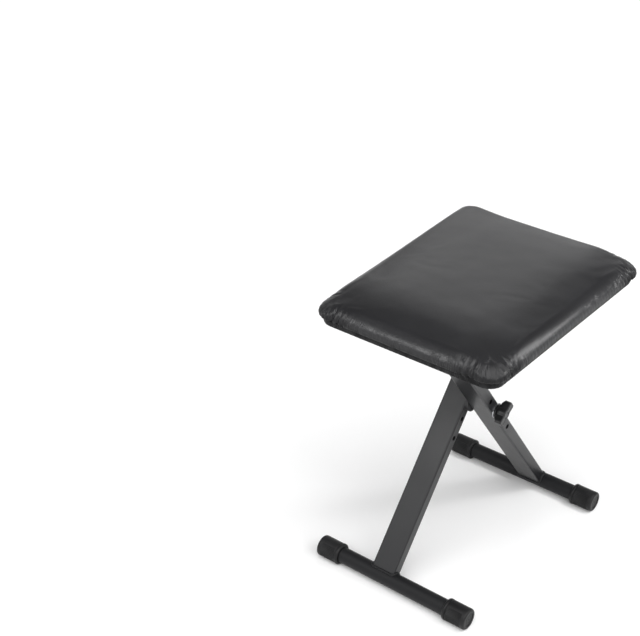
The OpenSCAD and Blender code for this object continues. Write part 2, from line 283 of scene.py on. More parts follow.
@dataclass(frozen=True)
class Leatherette(Finish):
    """Semi-gloss embossed vinyl that is gathered around a cushion."""

    roughness: float = 0.31
    grain_per_m: float = 850.0
    gather_per_m: float = 330.0
    grain_depth: float = 0.16 * MM
    crease_depth: float = 0.5 * MM
    gather_depth: float = 0.6 * MM
    dull_roughness: float = 0.6
    dull_gloss: float = 0.1

    def material(self) -> bpy.types.Material:
        """Returns vinyl with a pebbled grain, soft creases, fine rim gathers and painted shade at
        the rim.
        """
        s = Shader(self.name)
        pebbles = s.cells(self.grain_per_m) + s.noise(2.3 * self.grain_per_m, 2.0) * 0.35
        crease = s.noise(60.0, 4.0, 0.6)
        blotch = s.noise(9.0, 2.0)
        # rim_shade is a mask of painted shade: the groove under the bulge and the band below it are
        # darkened, and there the vinyl is also duller.
        along, gather, painted_shade_and_dullness = (s.attribute("rim_" + name) for name in ("along", "gather", "shade"))
        wander = s.noise(45.0, 2.0) * 0.02
        ripple = s.node(
            "ShaderNodeMath", {"operation": "SINE"},
            {0: (along + wander) * (2.0 * math.pi * self.gather_per_m)},
        )
        patches = s.ramp(s.noise(70.0, 2.0), (0.35, 0.2), (0.65, 1.0))
        ripple = (ripple * 0.5 + 0.5) * gather * patches
        grain = s.bump(pebbles, self.grain_depth, 0.55)
        creases = s.bump(crease, self.crease_depth, 0.2, grain)
        gathers = s.bump(ripple, self.gather_depth, 1.0, creases)
        shade = s.ramp(blotch, (0.3, 0.0), (0.7, 1.0))
        lighter = tuple(1.4 * c for c in self.colour)
        # Painted shade: the colour that the groove and the band below it are darkened to.
        painted_shade_colour = tuple(0.3 * c for c in self.colour)
        skin = s.mix(shade, self.colour, lighter)
        wear = self.roughness + (blotch - 0.5) * 0.06 + (pebbles - 0.5) * 0.08
        colour = s.mix(painted_shade_and_dullness, skin, painted_shade_colour)
        glossy = s.principled(
            Base_Color=colour, Roughness=wear, Normal=gathers, Specular_IOR_Level=0.5
        )
        dull = s.principled(
            Base_Color=colour, Roughness=self.dull_roughness, Normal=gathers,
            Specular_IOR_Level=self.dull_gloss,
        )
        return s.finished(s.node("ShaderNodeMixShader", inputs={0: painted_shade_and_dullness, 1: glossy, 2: dull}))


@dataclass(frozen=True)
class PowderCoat(Finish):
    """Powder coat on steel: a fine orange peel, with faint scuffs."""

    roughness: float = 0.36
    peel_per_m: float = 1100.0
    scuff: float = 0.3
    gloss: float = 0.42

    def material(self) -> bpy.types.Material:
        """Returns powder-coated steel."""
        s = Shader(self.name)
        peel = s.noise(self.peel_per_m, 2.0)
        broad = s.noise(14.0, 3.0)
        scuffs = s.ramp(s.noise(130.0, 6.0, 0.7), (0.6, 0.0), (0.74, 1.0)) * broad
        dust = s.ramp(s.noise(420.0, 2.0), (0.66, 0.0), (0.76, 1.0))
        worn = tuple(2.6 * c + 0.01 for c in self.colour)
        return s.surface(
            Base_Color=s.mix(scuffs * self.scuff + dust * 0.12, self.colour, worn),
            Roughness=self.roughness + (broad - 0.5) * 0.14 + scuffs * 0.15,
            Normal=s.bump(peel, 0.05 * MM, 0.45),
            Specular_IOR_Level=self.gloss,
        )


@dataclass(frozen=True)
class MouldedRubber(Finish):
    """Matt moulded rubber with a dusty bloom."""

    roughness: float = 0.45
    gloss: float = 0.32

    def material(self) -> bpy.types.Material:
        """Returns moulded rubber."""
        s = Shader(self.name)
        pores = s.noise(1500.0, 3.0)
        bloom = s.ramp(s.noise(55.0, 5.0, 0.65), (0.42, 0.0), (0.75, 1.0))
        dusty = tuple(2.2 * c + 0.006 for c in self.colour)
        return s.surface(
            Base_Color=s.mix(bloom * 0.55, self.colour, dusty),
            Roughness=self.roughness + bloom * 0.14 + (pores - 0.5) * 0.06,
            Normal=s.bump(pores, 0.07 * MM, 0.4),
            Specular_IOR_Level=self.gloss,
        )


@dataclass(frozen=True)
class MouldedPlastic(Finish):
    """Moulded plastic with a fine spark-eroded texture."""

    roughness: float = 0.4
    texture_per_m: float = 1900.0
    relief: float = 0.3

    def material(self) -> bpy.types.Material:
        """Returns moulded plastic."""
        s = Shader(self.name)
        spark = s.noise(self.texture_per_m, 2.0)
        flow = s.noise(30.0, 3.0)
        rubbed = tuple(1.6 * c + 0.004 for c in self.colour)
        return s.surface(
            Base_Color=s.mix(s.ramp(flow, (0.4, 0.0), (0.7, 1.0)), self.colour, rubbed),
            Roughness=self.roughness + (flow - 0.5) * 0.16 + (spark - 0.5) * 0.05,
            Normal=s.bump(spark, 0.06 * MM, self.relief),
        )


@dataclass(frozen=True)
class ZincPlate(Finish):
    """Bright zinc plate with cloudy stains and fine turning marks."""

    roughness: float = 0.3

    def material(self) -> bpy.types.Material:
        """Returns zinc-plated steel."""
        s = Shader(self.name)
        cloud = s.noise(160.0, 4.0, 0.6)
        grit = s.noise(2400.0, 2.0)
        stained = tuple(0.55 * c for c in self.colour)
        return s.surface(
            Base_Color=s.mix(s.ramp(cloud, (0.35, 1.0), (0.62, 0.0)), self.colour, stained),
            Metallic=1.0,
            Roughness=self.roughness + (cloud - 0.5) * 0.25,
            Normal=s.bump(grit, 0.03 * MM, 0.3),
        )


@dataclass(frozen=True)
class Plywood(Finish):
    """Bare birch plywood with long grain."""

    roughness: float = 0.66

    def material(self) -> bpy.types.Material:
        """Returns plywood whose face grain runs along Y and whose plies lie flat."""
        s = Shader(self.name)
        stretched = s.node(
            "ShaderNodeMapping", inputs={"Vector": s.place, "Scale": (60.0, 4.0, 60.0)}
        )
        grain = s.node(
            "ShaderNodeTexNoise", inputs={"Vector": stretched, "Scale": 3.0, "Detail": 6.0}
        )
        plies = s.node(
            "ShaderNodeTexWave",
            {"bands_direction": "Z"},
            {"Vector": s.place, "Scale": 130.0, "Distortion": 0.4},
            out="Fac",
        )
        dark = tuple(0.6 * c for c in self.colour)
        return s.surface(
            Base_Color=s.mix(grain * 0.7 + plies * 0.3, dark, self.colour),
            Roughness=self.roughness + (grain - 0.5) * 0.1,
            Normal=s.bump(grain, 0.1 * MM, 0.4),
        )


@dataclass(frozen=True)
class NonWoven(Finish):
    """Spun-bonded dust cloth with its grid of weld dimples."""

    dimples_per_m: float = 420.0

    def material(self) -> bpy.types.Material:
        """Returns non-woven cloth."""
        s = Shader(self.name)
        dimples = s.ramp(s.cells(self.dimples_per_m, randomness=0.25), (0.1, 0.0), (0.32, 1.0))
        fibres = s.noise(1300.0, 5.0, 0.7)
        bright = tuple(2.0 * c + 0.01 for c in self.colour)
        return s.surface(
            Base_Color=s.mix(fibres * dimples, self.colour, bright),
            Roughness=0.86 + (fibres - 0.5) * 0.1,
            Normal=s.bump(dimples + fibres * 0.4, 0.18 * MM, 0.6),
        )


@dataclass(frozen=True)
class OpenFoam(Finish):
    """Open-cell foam."""

    cells_per_m: float = 900.0

    def material(self) -> bpy.types.Material:
        """Returns foam with open cells."""
        s = Shader(self.name)
        pores = s.cells(self.cells_per_m)
        # Painted shade: the pits of the open cells are darker.
        dark = tuple(0.6 * c for c in self.colour)
        return s.surface(
            Base_Color=s.mix(s.ramp(pores, (0.1, 0.0), (0.5, 1.0)), dark, self.colour),
            Roughness=0.9 + (pores - 0.5) * 0.05,
            Normal=s.bump(pores, 0.5 * MM, 0.7),
        )


class Slot(Enum):
    """The record's material slots."""

    LEATHERETTE = "leatherette"
    FOAM = "foam"
    PLYWOOD = "plywood"
    DUST_CLOTH = "dust_cloth"
    BLACK_STEEL = "black_steel"
    FOOT_STEEL = "foot_steel"
    WELD = "weld"
    ZINC = "zinc"
    NYLON = "nylon"
    DISC_PLASTIC = "disc_plastic"
    CAP_RUBBER = "cap_rubber"
    KNOB_PLASTIC = "knob_plastic"
    STAPLE_WIRE = "staple_wire"


FINISHES: dict[Slot, Finish] = {
    Slot.LEATHERETTE: Leatherette("leatherette", (0.0105, 0.0105, 0.0118)),
    Slot.FOAM: OpenFoam("foam", (0.78, 0.69, 0.45)),
    Slot.PLYWOOD: Plywood("plywood", (0.58, 0.41, 0.24)),
    Slot.DUST_CLOTH: NonWoven("dust_cloth", (0.018, 0.018, 0.02)),
    Slot.BLACK_STEEL: PowderCoat("black_steel", (0.0105, 0.0107, 0.012)),
    Slot.FOOT_STEEL: PowderCoat("foot_steel", (0.008, 0.0082, 0.0092), roughness=0.52, gloss=0.25),
    Slot.WELD: PowderCoat("weld", (0.008, 0.0082, 0.009), roughness=0.42, scuff=0.1, gloss=0.3),
    Slot.ZINC: ZincPlate("zinc", (0.62, 0.63, 0.65)),
    Slot.NYLON: MouldedPlastic("nylon", (0.74, 0.72, 0.66), roughness=0.45),
    Slot.DISC_PLASTIC: MouldedPlastic("disc_plastic", (0.012, 0.012, 0.013), roughness=0.46),
    Slot.CAP_RUBBER: MouldedRubber("cap_rubber", (0.005, 0.005, 0.0055)),
    Slot.KNOB_PLASTIC: MouldedPlastic("knob_plastic", (0.009, 0.009, 0.0095), roughness=0.36),
    Slot.STAPLE_WIRE: ZincPlate("staple_wire", (0.55, 0.55, 0.56), roughness=0.36),
}


class Wardrobe:
    """Every finish's material, made once."""

    def __init__(self) -> None:
        """Makes all the materials."""
        self.materials = {slot: finish.material() for slot, finish in FINISHES.items()}

    def fit(
        self, piece: bpy.types.Object, slot: Slot, body: str, *nodes: str
    ) -> bpy.types.Object:
        """Dresses a new piece and puts it on its body.

        Args:
            piece: The piece.
            slot: Its finish's slot.
            body: The body that carries it.
            nodes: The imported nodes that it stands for.

        Returns:
            The piece.
        """
        piece.data.materials.clear()
        piece.data.materials.append(self.materials[slot])
        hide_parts(*nodes)
        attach(piece, body)
        return piece

    def dress_nodes(self) -> None:
        """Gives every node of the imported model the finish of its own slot."""
        slots = {row["node"]: Slot(row["material_slot"]) for row in frame["record"]["subparts"]}
        for name, node in frame["nodes"].items():
            for slot in node.material_slots:
                slot.material = self.materials[slots[name]]
            if not node.material_slots:
                node.data.materials.append(self.materials[slots[name]])


# ---------------------------------------------------------------- mesh helpers


def box_of(node: str) -> tuple[Vector, Vector]:
    """Returns a node's lowest and highest corners."""
    low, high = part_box(node)
    return Vector(low), Vector(high)


def centre_of(node: str) -> Vector:
    """Returns the middle of a node's box."""
    low, high = box_of(node)
    return (low + high) / 2


def make_piece(name: str, mesh: bmesh.types.BMesh, smooth: float | None = 35.0) -> bpy.types.Object:
    """Turns a bmesh into a piece at the origin.

    Args:
        name: The piece's name.
        mesh: The bmesh, which is freed.
        smooth: The angle in degrees past which an edge stays sharp, or None for flat faces.

    Returns:
        The new object.
    """
    data = bpy.data.meshes.new(name)
    mesh.to_mesh(data)
    mesh.free()
    piece = bpy.data.objects.new(name, data)
    bpy.context.scene.collection.objects.link(piece)
    if smooth is not None:
        data.shade_smooth()
        data.set_sharp_from_angle(angle=math.radians(smooth))
    return piece


def loop_edges(verts: Sequence[bmesh.types.BMVert]) -> list[bmesh.types.BMEdge]:
    """Returns the edges that join a ring's neighbouring vertices, last to first too."""
    edges = []
    for here, there in zip(verts, [*verts[1:], verts[0]]):
        edges += [e for e in here.link_edges if e.other_vert(here) is there]
    return edges


def extrude_ring(
    mesh: bmesh.types.BMesh, verts: Sequence[bmesh.types.BMVert]
) -> list[bmesh.types.BMVert]:
    """Extrudes a ring and returns the new ring in the same order.

    Args:
        mesh: The bmesh that holds the ring.
        verts: The ring's vertices in order.
    """
    grown = bmesh.ops.extrude_edge_only(mesh, edges=loop_edges(verts))["geom"]
    fresh = {g for g in grown if isinstance(g, bmesh.types.BMVert)}
    follow = []
    for vert in verts:
        follow += [e.other_vert(vert) for e in vert.link_edges if e.other_vert(vert) in fresh]
    return follow


def loft(mesh: bmesh.types.BMesh, rings: Sequence[Sequence[Vector]], closed: bool = False) -> None:
    """Extrudes a circle through rings of places, into a closed surface.

    Args:
        mesh: The bmesh that takes the surface.
        rings: Each ring's places, all of one count.
        closed: True joins the last ring to the first; False caps both ends.
    """
    circle = bmesh.ops.create_circle(mesh, cap_ends=False, radius=1.0, segments=len(rings[0]))
    first = verts = circle["verts"]
    made = []
    for number, ring in enumerate(rings):
        if number:
            verts = extrude_ring(mesh, verts)
        for vert, place in zip(verts, ring):
            vert.co = place
        made += verts
    if closed:
        bmesh.ops.bridge_loops(mesh, edges=loop_edges(verts) + loop_edges(first))
    else:
        for end in (first, verts):
            bmesh.ops.contextual_create(mesh, geom=loop_edges(end))
    bmesh.ops.recalc_face_normals(mesh, faces=list({f for v in made for f in v.link_faces}))


@dataclass(frozen=True)
class Level:
    """One ring of a turned shape: its place along the axis and its radius."""

    along: float
    radius: float
    shaped: bool = False


@dataclass(frozen=True)
class Turning:
    """A shape that is turned about an axis parallel to X, ring by ring."""

    centre: Vector
    facing: float = 1.0
    segments: int = 48

    def build(
        self,
        mesh: bmesh.types.BMesh,
        levels: Sequence[Level],
        shape: Callable[[float, Level], float] | None = None,
    ) -> None:
        """Turns the levels into a closed surface.

        Args:
            mesh: The bmesh that takes the surface.
            levels: The rings, in order along the outline.
            shape: Returns a shaped level's radius at an angle from +Y towards +Z.
        """
        angles = [2 * math.pi * k / self.segments for k in range(self.segments)]
        rings = []
        for level in levels:
            ring = []
            for angle in angles:
                radius = shape(angle, level) if shape and level.shaped else level.radius
                turned = Vector((0.0, math.cos(angle), math.sin(angle))) * radius
                ring.append(self.centre + turned + Vector((self.facing * level.along, 0.0, 0.0)))
            rings.append(ring)
        loft(mesh, rings)


def levels_at(
    start: float, base: float, rows: Sequence[tuple[float, float]], shaped: bool = False
) -> list[Level]:
    """Returns levels that are given as millimetres past a place and past a radius.

    Args:
        start: The place along the axis.
        base: The radius.
        rows: (along, radius) pairs in millimetres.
        shaped: True where the turned shape's own function gives the radius.
    """
    return [Level(start + along * MM, base + out * MM, shaped) for along, out in rows]


def arc(
    centre: tuple[float, float], radius: float, start: float, end: float, steps: int
) -> list[Level]:
    """Returns levels along a rounded corner of a turned outline.

    Args:
        centre: The arc's centre as (along, radius).
        radius: The arc's own radius.
        start: The first angle in degrees, 0 along the axis and 90 outwards.
        end: The last angle in degrees.
        steps: The number of chords.
    """
    turns = [math.radians(start + (end - start) * k / steps) for k in range(steps + 1)]
    return [
        Level(centre[0] + radius * math.cos(t), centre[1] + radius * math.sin(t)) for t in turns
    ]


@dataclass(frozen=True)
class RoundedRect:
    """A rectangle with round corners, centred on the origin."""

    half_x: float
    half_y: float
    corner: float

    @property
    def straight_x(self) -> float:
        """Returns half the length of a straight stretch along X."""
        return self.half_x - self.corner

    @property
    def straight_y(self) -> float:
        """Returns half the length of a straight stretch along Y."""
        return self.half_y - self.corner

    @property
    def length(self) -> float:
        """Returns the outline's length."""
        return 4 * (self.straight_x + self.straight_y) + 2 * math.pi * self.corner

    def at(self, along: float) -> tuple[Vector, Vector, float]:
        """Finds a place on the outline.

        Args:
            along: Distance along the outline, anticlockwise from the middle of the +X side.

        Returns:
            The place, its outward normal, and the distance to the nearest corner arc.
        """
        quarter = self.length / 4
        turn, rest = divmod(along % self.length, quarter)
        if turn % 2:
            rest = quarter - rest
        bend = math.pi / 2 * self.corner
        if rest < self.straight_y:
            place, normal = Vector((self.half_x, rest, 0.0)), Vector((1.0, 0.0, 0.0))
            away = self.straight_y - rest
        elif rest < self.straight_y + bend:
            angle = (rest - self.straight_y) / self.corner
            normal = Vector((math.cos(angle), math.sin(angle), 0.0))
            place = Vector((self.straight_x, self.straight_y, 0.0)) + normal * self.corner
            away = 0.0
        else:
            left = rest - self.straight_y - bend
            place = Vector((self.straight_x - left, self.half_y, 0.0))
            normal = Vector((0.0, 1.0, 0.0))
            away = left
        signs = ((1, 1), (-1, 1), (-1, -1), (1, -1))[int(turn)]
        for vector in (place, normal):
            vector.x *= signs[0]
            vector.y *= signs[1]
        return place, normal, away

    def nearest(self, x: float, y: float) -> float:
        """Returns the distance along the outline of the place that is nearest to (x, y)."""
        bend = math.pi / 2 * self.corner
        over_x = abs(x) - self.straight_x
        over_y = abs(y) - self.straight_y
        if over_x > 0 and over_y > 0:
            rest = self.straight_y + math.atan2(over_y, over_x) * self.corner
        elif over_x - self.corner >= over_y - self.corner:
            rest = min(abs(y), self.straight_y)
        else:
            rest = self.straight_y + bend + max(self.straight_x - abs(x), 0.0)
        quarter = self.length / 4
        if x >= 0:
            return rest if y >= 0 else self.length - rest
        return 2 * quarter - rest if y >= 0 else 2 * quarter + rest


def wave_noise(x: float, y: float = 0.0, z: float = 0.0) -> float:
    """Returns smooth noise between about -1 and 1 at a place given in noise cells."""
    return noise.noise(Vector((x, y, z)))


def smoothstep(low: float, high: float, value: float) -> float:
    """Returns 0 below low, 1 above high and a smooth rise between them."""
    t = min(max((value - low) / (high - low), 0.0), 1.0)
    return t * t * (3.0 - 2.0 * t)


def fade(low: float, high: float, value: float) -> float:
    """Returns 1 below low, 0 above high and a smooth fall between them."""
    return 1.0 - smoothstep(low, high, value)


# ---------------------------------------------------------------- the padded seat


VINYL_CLOTH = {
    "quality": 6,
    "mass": 0.4,
    "tension_stiffness": 25.0,
    "compression_stiffness": 12.0,
    "shear_stiffness": 8.0,
    "bending_stiffness": 0.6,
    "shrink_min": 0.006,
    "use_pressure": True,
    "uniform_pressure_force": 2.5,
}


@dataclass
class SeatCushion:
    """The padded seat: vinyl pulled over foam, pleated at the rim and folded under the board."""

    crown: float = 7.35 * MM
    shoulder: float = 23.0 * MM
    shoulder_turn: float = 80.0
    crown_run: float = 84.0 * MM
    band_top: float = 9.2 * MM
    band_in: float = 7.2 * MM
    groove_z: float = 11.0 * MM
    groove_in: float = 8.4 * MM
    hem_edge_r: float = 2.2 * MM
    corner: float = 31.0 * MM
    corner_droop: float = 9.0 * MM
    far_left_droop: float = 0.15
    fuller_out: float = 6.0 * MM
    fuller_up: float = 5.0 * MM
    cover: float = 0.5 * MM
    hem_turn: float = 2.6 * MM
    hem_run: float = 28.0 * MM
    step_up: float = 1.2 * MM
    spacing: float = 3.84 * MM
    held_rise: float = 3.0 * MM
    start_low: float = 2.5 * MM
    gather_run: float = 80.0 * MM
    dull_rise: float = 13.0 * MM
    settle: float = 0.16
    steps: int = 14
    pleat_pitch: float = 8.2 * MM
    pleat_depth: float = 2.5 * MM
    pleat_wander: float = 5.0 * MM
    wander_run: float = 26.0 * MM
    pleat_lean: float = 0.12
    pleat_crispness: float = 0.55
    pleat_end: float = 27.0 * MM
    pinch_run: float = 62.0 * MM
    ruck_depth: float = 4.0 * MM
    ruck_lean: float = 0.25
    unevenness: float = 0.18 * MM
    rucks: tuple[tuple[float, float], ...] = ((6.0, 2.0), (15.0, 2.6), (25.0, 2.2))
    low: Vector = field(default_factory=lambda: box_of("seat_cover")[0])
    high: Vector = field(default_factory=lambda: box_of("seat_cover")[1])

    def __post_init__(self) -> None:
        """Works out the outline and the heights."""
        half = (self.high - self.low) / 2
        self.outline = RoundedRect(half.x, half.y, self.corner)
        self.centre = (self.high + self.low) / 2
        self.base_z = self.low.z
        turn = math.radians(self.shoulder_turn)
        self.shoulder_in = self.shoulder * (1 - math.cos(turn))
        self.shoulder_z = self.high.z - self.crown - self.shoulder * math.sin(turn) - self.base_z
        self.board_low, self.board_high = box_of("seat_board")
        board = (self.board_high - self.board_low) / 2
        self.board = RoundedRect(board.x, board.y, self.corner - (half.x - board.x))

    def profile(self) -> list[tuple[float, float]]:
        """Returns the section as (pull-in, height), from the crown's edge to the hem's edge."""
        turn = math.radians(self.shoulder_turn)
        section = []
        for k in range(11):
            angle = turn * (1 - k / 10)
            section.append(
                (
                    self.shoulder * (1 - math.cos(angle)),
                    self.shoulder_z + self.shoulder * math.sin(angle),
                )
            )
        for base_in, base_up, rows in (
            (0.0, self.groove_z, ((0.2, 3.6), (1.2, 1.9), (3.2, 0.9), (6.2, 0.4))),
            (self.groove_in, self.groove_z, ((0.0, 0.0), (0.0, -0.8))),
            (self.band_in, self.band_top, ((0.5, 0.3), (0.0, -0.9))),
            (self.band_in, 0.5 * (self.band_top + self.hem_edge_r), ((0.1, 0.0),)),
            (self.band_in, self.hem_edge_r, ((0.5, 0.0),)),
            (self.band_in, 0.3 * self.hem_edge_r, ((1.2, 0.0),)),
        ):
            section += [(base_in + pull * MM, base_up + up * MM) for pull, up in rows]
        turned = self.band_in + self.hem_turn
        run = self.hem_run - self.hem_turn
        section += [(turned + run * k / 6, 0.0) for k in range(7)]
        section.append((self.band_in + self.hem_run, self.step_up))
        return section

    def crown_height(self, x: float, y: float) -> float:
        """Returns the crown's height above its edge at (x, y)."""
        rise = 1.0
        for half, place in ((self.outline.half_x, x), (self.outline.half_y, y)):
            inside = max(half - self.shoulder_in - abs(place), 0.0)
            rise *= 1 - (1 - min(inside / self.crown_run, 1.0)) ** 2
        return self.crown * rise

    def droop(self, spot: Vector) -> float:
        """Returns how far a place sinks because the vinyl is pulled tight over the corners."""
        across = smoothstep(0.5, 1.0, abs(spot.x) / self.outline.half_x)
        along = smoothstep(0.6, 1.0, abs(spot.y) / self.outline.half_y)
        share = self.far_left_droop if spot.x < 0.0 < spot.y else 1.0
        return self.corner_droop * across * along * share

    def fuller(self, spot: Vector) -> Vector:
        """Returns how far the fuller far left side of the padding stands out from the rest."""
        left = smoothstep(0.5, 1.0, -spot.x / self.outline.half_x)
        far = smoothstep(-0.7, 0.9, spot.y / self.outline.half_y)
        return Vector((-self.fuller_out, 0.0, self.fuller_up)) * left * far

    def blank(self) -> bmesh.types.BMesh:
        """Returns the seat before it is stuffed: a grid whose rim is pulled down and under."""
        nx = round((2 * self.outline.straight_x + math.pi / 2 * self.corner) / self.spacing)
        ny = round((2 * self.outline.straight_y + math.pi / 2 * self.corner) / self.spacing)
        mesh = bmesh.new()
        grid = bmesh.ops.create_grid(mesh, x_segments=nx, y_segments=ny, size=0.5)["verts"]
        section = self.profile()
        place = {}
        for vert in grid:
            place[(round((vert.co.x + 0.5) * nx), round((vert.co.y + 0.5) * ny))] = vert
        ring = [(nx, j) for j in range(ny)] + [(i, ny) for i in range(nx, 0, -1)]
        ring += [(0, j) for j in range(ny, 0, -1)] + [(i, 0) for i in range(nx)]
        start = self.outline.nearest(self.outline.half_x - TINY, -self.outline.half_y + TINY)
        spots = []
        for k in range(len(ring)):
            spots.append(self.outline.at(start + self.outline.length * k / len(ring)))
        edge_in, edge_z = section[0]
        border = {key: spot[0] - spot[1] * edge_in for key, spot in zip(ring, spots)}
        for (i, j), vert in place.items():
            u, v = i / nx, j / ny
            across = border[(0, j)] * (1 - u) + border[(nx, j)] * u
            along = border[(i, 0)] * (1 - v) + border[(i, ny)] * v
            corners = (border[(0, 0)] * (1 - u) + border[(nx, 0)] * u) * (1 - v)
            corners += (border[(0, ny)] * (1 - u) + border[(nx, ny)] * u) * v
            flat = across + along - corners
            vert.co = flat + Vector((0.0, 0.0, edge_z + self.crown_height(flat.x, flat.y)))
        verts = [place[key] for key in ring]
        for pull, height in section[1:]:
            verts = extrude_ring(mesh, verts)
            for vert, (spot, normal, _) in zip(verts, spots):
                vert.co = spot - normal * pull + Vector((0.0, 0.0, height))
        for vert in mesh.verts:
            low, high = self.groove_z + 2.0 * MM, self.shoulder_z + self.shoulder
            sunk = Vector((0.0, 0.0, self.droop(vert.co)))
            vert.co += (self.fuller(vert.co) - sunk) * smoothstep(low, high, vert.co.z)
        bmesh.ops.translate(
            mesh, verts=mesh.verts, vec=Vector((self.centre.x, self.centre.y, self.base_z))
        )
        bmesh.ops.recalc_face_normals(mesh, faces=mesh.faces)
        return mesh

    def stuffed(self, piece: bpy.types.Object) -> None:
        """Swells the crown and the shoulders with a cloth simulation, and applies it.

        Args:
            piece: The seat's blank, which takes the swollen shape.
        """
        data = piece.data
        start = [v.co.copy() for v in data.vertices]
        held = self.base_z + self.groove_z + self.held_rise
        free = held + 2.0 * self.held_rise
        low_top = self.high.z - self.start_low
        for vert in data.vertices:
            vert.co.z -= self.start_low * smoothstep(held, low_top, vert.co.z)
        pinned = piece.vertex_groups.new(name="held")
        for vert in data.vertices:
            pinned.add([vert.index], fade(held, free, vert.co.z), "REPLACE")
        cloth = piece.modifiers.new("stuffing", "CLOTH")
        for name, value in VINYL_CLOTH.items():
            setattr(cloth.settings, name, value)
        cloth.settings.vertex_group_mass = pinned.name
        cloth.settings.effector_weights.gravity = 0.0
        cloth.collision_settings.use_collision = False
        scene = bpy.context.scene
        for step in range(1, self.steps + 1):
            scene.frame_set(step)
        swollen = piece.evaluated_get(bpy.context.evaluated_depsgraph_get())
        moved = [v.co.copy() for v in swollen.to_mesh().vertices]
        swollen.to_mesh_clear()
        piece.modifiers.remove(cloth)
        piece.vertex_groups.clear()
        scene.frame_set(1)
        for vert, before, after in zip(data.vertices, start, moved):
            vert.co = before.lerp(after, self.settle)
        top = max(v.co.z for v in data.vertices)
        floor = self.base_z + self.shoulder_z
        gain = (self.high.z - floor) / (top - floor)
        for vert in data.vertices:
            if vert.co.z > floor:
                vert.co.z = floor + (vert.co.z - floor) * gain

    def pleat(self, along: float, height: float, away: float) -> float:
        """Returns how far the vinyl stands in from its smooth surface.

        Args:
            along: Distance along the outline.
            height: Height above the seat's underside.
            away: Distance from the nearest corner arc.
        """
        up = height - self.groove_z
        wander = self.pleat_wander * wave_noise(along / self.wander_run, 3.1)
        phase = (along + wander + self.pleat_lean * up) / self.pleat_pitch
        number = math.floor(phase)
        strength = 0.35 + 1.04 * abs(wave_noise(number * 0.73, 8.7))
        fold = 1.0 - abs(math.sin(math.pi * phase)) ** self.pleat_crispness
        near = 0.3 + 0.7 * fade(0.0, self.pinch_run, away)
        above = smoothstep(-1.0 * MM, 3.0 * MM, up) * fade(6.0 * MM, self.pleat_end, up)
        below = 0.35 * fade(-2.0 * MM, 2.0 * MM, height - self.band_top)
        return self.pleat_depth * fold * strength * near * (above + below)

    def ruck(self, along: float, height: float, away: float) -> float:
        """Returns the depth of the deeper rucks beside each corner.

        Args:
            along: Distance along the outline.
            height: Height above the seat's underside.
            away: Distance from the nearest corner arc.
        """
        if away <= 0.0:
            return 0.0
        up = height - self.groove_z
        depth = 0.0
        for number, (place, width) in enumerate(self.rucks):
            shift = 3.0 * wave_noise(along / (90 * MM), number * 5.3)
            lean = self.ruck_lean * up / MM
            gap = (away / MM - place - shift - lean) / width
            depth += math.exp(-gap * gap) * (1.0 - 0.25 * number)
        reach = fade(10.0 * MM, self.pleat_end, up)
        return self.ruck_depth * depth * reach * smoothstep(0.0, 6.0 * MM, height)

    def keep_off_board(self, spot: Vector) -> None:
        """Moves a place beside the board out of it, by the cover's thickness."""
        if not self.board_low.z < spot.z < self.board_high.z + self.cover:
            return
        x, y = spot.x - self.centre.x, spot.y - self.centre.y
        edge, normal, _ = self.board.at(self.board.nearest(x, y))
        short = self.cover - (Vector((x, y, 0.0)) - edge).dot(normal)
        if short > 0.0:
            spot += normal * short

    def finish_rim(self, piece: bpy.types.Object) -> None:
        """Presses the pleats into the rim, and stores where the fine gathers run and where shade is
        painted.

        Args:
            piece: The stuffed and subdivided seat.
        """
        data = piece.data
        normals = [v.normal.copy() for v in data.vertices]
        stored = {"rim_along": [], "rim_gather": [], "rim_shade": []}
        for vert, normal in zip(data.vertices, normals):
            x, y = vert.co.x - self.centre.x, vert.co.y - self.centre.y
            height = vert.co.z - self.base_z
            along = self.outline.nearest(x, y)
            edge, _, away = self.outline.at(along)
            inside = (Vector((x, y, 0.0)) - edge).length
            up = height - self.groove_z
            rim = fade(self.shoulder_in, self.shoulder_in + 12.0 * MM, inside)
            if height < 0.4 * MM:
                rim = 0.3 * fade(10.0 * MM, self.hem_run, inside)
            if rim > 0.0:
                depth = self.pleat(along, height, away) + self.ruck(along, height, away)
                vert.co -= normal * depth * rim
                self.keep_off_board(vert.co)
            if up > 4 * MM:
                swell = wave_noise(x / (30 * MM), y / (30 * MM), height / (20 * MM))
                vert.co += normal * swell * self.unevenness
            stored["rim_along"].append(along)
            under = 0.6 if height < 1.0 * MM else 1.0
            near = 0.45 + 0.55 * fade(0.0, self.gather_run, away)
            stored["rim_gather"].append(fade(10.0 * MM, 30.0 * MM, up) * under * near)
            # rim_shade paints shade: fully in the groove under the bulge, partly on the band below
            # it, which is also made duller.
            slot = fade(0.6 * MM, 3.4 * MM, abs(up - 0.4 * MM))
            fray = 1.0 + 0.35 * wave_noise(along / (7 * MM), height / (9 * MM), 2.7)
            rise = self.dull_rise * (1.0 + 0.6 * fade(0.0, 60.0 * MM, away))
            dull = 0.75 * fray * fade(0.0, rise, up)
            stored["rim_shade"].append(min(max(slot, dull), 1.0))
        for name, values in stored.items():
            layer = data.attributes.new(name, "FLOAT", "POINT")
            layer.data.foreach_set("value", values)
        data.update()

    @staticmethod
    def close_underside(data: bpy.types.Mesh) -> None:
        """Closes the hem's opening with one flat face, above the dust cloth."""
        mesh = bmesh.new()
        mesh.from_mesh(data)
        bmesh.ops.holes_fill(mesh, edges=[e for e in mesh.edges if e.is_boundary], sides=0)
        bmesh.ops.recalc_face_normals(mesh, faces=mesh.faces)
        mesh.to_mesh(data)
        mesh.free()

